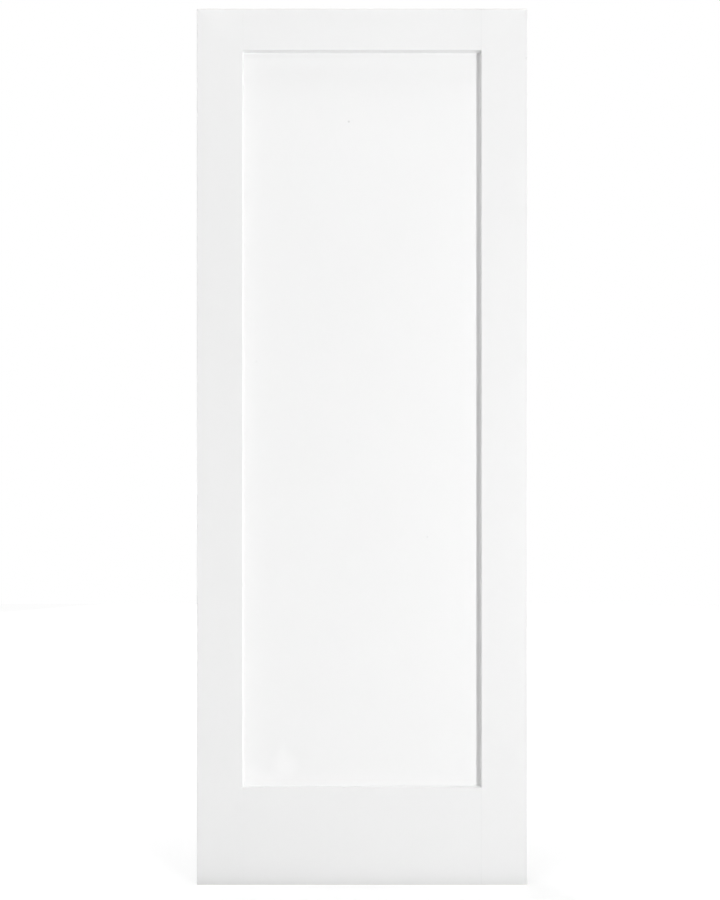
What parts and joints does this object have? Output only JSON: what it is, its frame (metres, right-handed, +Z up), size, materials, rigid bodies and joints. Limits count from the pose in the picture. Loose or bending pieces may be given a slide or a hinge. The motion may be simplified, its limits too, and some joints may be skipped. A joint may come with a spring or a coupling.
{
  "type": "interior door leaf",
  "caption": "White painted stile-and-rail interior door leaf with a flat recessed panel on both faces, not bored.",
  "frame": {"origin": "on the face of the hinge edge, at the bottom end and at mid-thickness", "axes": "+X from the hinge edge to the lock edge, +Y from the front face to the back face, +Z up"},
  "size_m": [0.77, 0.035, 2.04],
  "materials": {
    "hinge_stile_face": "smooth hardboard under white satin paint, sprayed",
    "lock_stile_face": "smooth hardboard under white satin paint, sprayed",
    "top_rail_face": "smooth hardboard under white satin paint, sprayed",
    "bottom_rail_face": "smooth hardboard under white satin paint, sprayed",
    "panel_face": "flat fibreboard under white satin paint, sprayed",
    "edge_strip": "solid softwood under white satin paint, with a thin coat of primer on the end grain",
    "groove_strip": "solid softwood under white satin paint, with a thin coat of primer on the end grain",
    "core_wood": "finger-jointed softwood, seen only at the leaf's ends under a thin coat of primer",
    "dowel_wood": "bare beech, hidden in the joints"
  },
  "bodies": {
    "root": {"hinge_stile_edge_strip": "edge_strip", "hinge_stile_core": "core_wood", "hinge_stile_groove_strip": "groove_strip", "hinge_stile_front_skin": "hinge_stile_face", "hinge_stile_back_skin": "hinge_stile_face", "lock_stile_edge_strip": "edge_strip", "lock_stile_core": "core_wood", "lock_stile_groove_strip": "groove_strip", "lock_stile_front_skin": "lock_stile_face", "lock_stile_back_skin": "lock_stile_face", "top_rail_edge_strip": "edge_strip", "top_rail_core": "core_wood", "top_rail_groove_strip": "groove_strip", "top_rail_front_skin": "top_rail_face", "top_rail_back_skin": "top_rail_face", "bottom_rail_edge_strip": "edge_strip", "bottom_rail_core": "core_wood", "bottom_rail_groove_strip": "groove_strip", "bottom_rail_front_skin": "bottom_rail_face", "bottom_rail_back_skin": "bottom_rail_face", "panel": "panel_face", "top_rail_dowels": "dowel_wood", "bottom_rail_dowels": "dowel_wood"}
  },
  "joints": []
}
